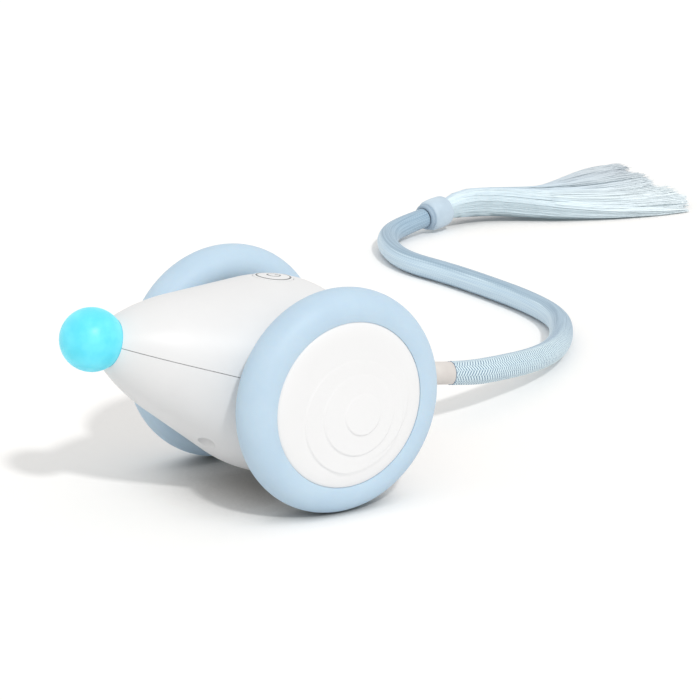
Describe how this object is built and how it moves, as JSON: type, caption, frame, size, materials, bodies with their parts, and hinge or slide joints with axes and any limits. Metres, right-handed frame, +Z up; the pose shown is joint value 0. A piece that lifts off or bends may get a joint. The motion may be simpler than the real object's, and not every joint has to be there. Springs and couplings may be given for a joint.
{
  "type": "robotic mouse cat toy",
  "caption": "Self-driving mouse-shaped cat toy: egg-shaped body between two large soft-tyred wheels, lit nose ball, top button and a braided tail with a bead and tassel.",
  "frame": {"origin": "on the floor, under the middle of the box round the body and both wheels", "axes": "+Z up, nose towards -Y, axle line along X"},
  "size_m": [0.2961, 0.3909, 0.062],
  "materials": {
    "shell_white": "satin moulded plastic",
    "nose_cyan": "translucent plastic lit from inside",
    "led_clear": "clear lens",
    "circuit_green": "solder mask",
    "chip_black": "moulded package",
    "screw_steel": "plated steel",
    "battery_silver": "foil pouch",
    "port_steel": "stamped shell",
    "button_grey": "satin",
    "switch_black": "moulded",
    "frame_grey": "moulded",
    "gear_white": "acetal",
    "pinion_brass": "machined",
    "motor_steel": "drawn can",
    "axle_steel": "ground rod",
    "bush_bronze": "sintered",
    "rim_white": "satin moulded plastic",
    "cap_white": "satin moulded plastic",
    "tyre_blue": "soft matte rubber",
    "ferrule_beige": "soft moulded sleeve",
    "braid_blue": "woven sleeve",
    "bead_blue": "satin",
    "tassel_blue": "silky yarn",
    "lead_red": "insulated wire"
  },
  "bodies": {
    "toy_body": {"battery": "battery_silver", "battery_leads": "lead_red", "board_chips": "chip_black", "board_screws": "screw_steel", "case_screws": "screw_steel", "charging_port": "port_steel", "cover_screws": "screw_steel", "drive_frame": "frame_grey", "frame_screw": "screw_steel", "idler_pins": "axle_steel", "led_board": "circuit_green", "led_leads": "lead_red", "left_axle_bush": "bush_bronze", "left_gear_cover": "frame_grey", "left_motor": "motor_steel", "lower_shell": "shell_white", "main_board": "circuit_green", "nose_ball": "nose_cyan", "nose_led": "led_clear", "rear_cap": "shell_white", "right_axle_bush": "bush_bronze", "right_gear_cover": "frame_grey", "right_motor": "motor_steel", "tact_switch": "switch_black", "tail_bead": "bead_blue", "tail_cord": "braid_blue", "tail_ferrule": "ferrule_beige", "tail_socket": "ferrule_beige", "tail_tassel": "tassel_blue", "upper_shell": "shell_white"},
    "right_wheel": {"right_tyre": "tyre_blue", "right_wheel_rim": "rim_white", "right_wheel_cap": "cap_white", "right_wheel_screw": "screw_steel", "right_axle": "axle_steel", "right_axle_gear": "gear_white"},
    "right_slow_gear": {"right_second_idler": "gear_white"},
    "right_fast_gear": {"right_first_idler": "gear_white"},
    "right_rotor": {"right_motor_shaft": "axle_steel", "right_motor_pinion": "pinion_brass"},
    "left_wheel": {"left_tyre": "tyre_blue", "left_wheel_rim": "rim_white", "left_wheel_cap": "cap_white", "left_wheel_screw": "screw_steel", "left_axle": "axle_steel", "left_axle_gear": "gear_white"},
    "left_slow_gear": {"left_second_idler": "gear_white"},
    "left_fast_gear": {"left_first_idler": "gear_white"},
    "left_rotor": {"left_motor_shaft": "axle_steel", "left_motor_pinion": "pinion_brass"},
    "button": {"power_button": "button_grey", "switch_plunger": "switch_black"}
  },
  "joints": [
    {"name": "right_wheel_spin", "type": "hinge", "parent": "toy_body", "child": "right_wheel", "pos_m": [0, 0.01785, 0.031], "axis": [1, 0, 0], "continuous": true},
    {"name": "right_slow_gear_spin", "type": "hinge", "parent": "toy_body", "child": "right_slow_gear", "pos_m": [0, 0.00877, 0.0248], "axis": [1, 0, 0], "continuous": true},
    {"name": "right_fast_gear_spin", "type": "hinge", "parent": "toy_body", "child": "right_fast_gear", "pos_m": [0, 0.0172, 0.02042], "axis": [1, 0, 0], "continuous": true},
    {"name": "right_rotor_spin", "type": "hinge", "parent": "toy_body", "child": "right_rotor", "pos_m": [0, 0.02664, 0.01934], "axis": [1, 0, 0], "continuous": true},
    {"name": "left_wheel_spin", "type": "hinge", "parent": "toy_body", "child": "left_wheel", "pos_m": [0, 0.01785, 0.031], "axis": [1, 0, 0], "continuous": true},
    {"name": "left_slow_gear_spin", "type": "hinge", "parent": "toy_body", "child": "left_slow_gear", "pos_m": [0, 0.02817, 0.02718], "axis": [1, 0, 0], "continuous": true},
    {"name": "left_fast_gear_spin", "type": "hinge", "parent": "toy_body", "child": "left_fast_gear", "pos_m": [0, 0.02105, 0.02089], "axis": [1, 0, 0], "continuous": true},
    {"name": "left_rotor_spin", "type": "hinge", "parent": "toy_body", "child": "left_rotor", "pos_m": [0, 0.01215, 0.01756], "axis": [1, 0, 0], "continuous": true},
    {"name": "button_press", "type": "slide", "parent": "toy_body", "child": "button", "axis": [0, -0.309, -0.9511], "range_m": [0, 0.0005], "stiffness_N_per_m": 400}
  ],
  "couplings": [
    {"joint": "right_slow_gear_spin", "follows": "right_wheel_spin", "ratio": -3.4},
    {"joint": "right_fast_gear_spin", "follows": "right_wheel_spin", "ratio": 9.52},
    {"joint": "right_rotor_spin", "follows": "right_wheel_spin", "ratio": -26.656},
    {"joint": "left_slow_gear_spin", "follows": "left_wheel_spin", "ratio": -3.4},
    {"joint": "left_fast_gear_spin", "follows": "left_wheel_spin", "ratio": 9.52},
    {"joint": "left_rotor_spin", "follows": "left_wheel_spin", "ratio": -26.656}
  ]
}
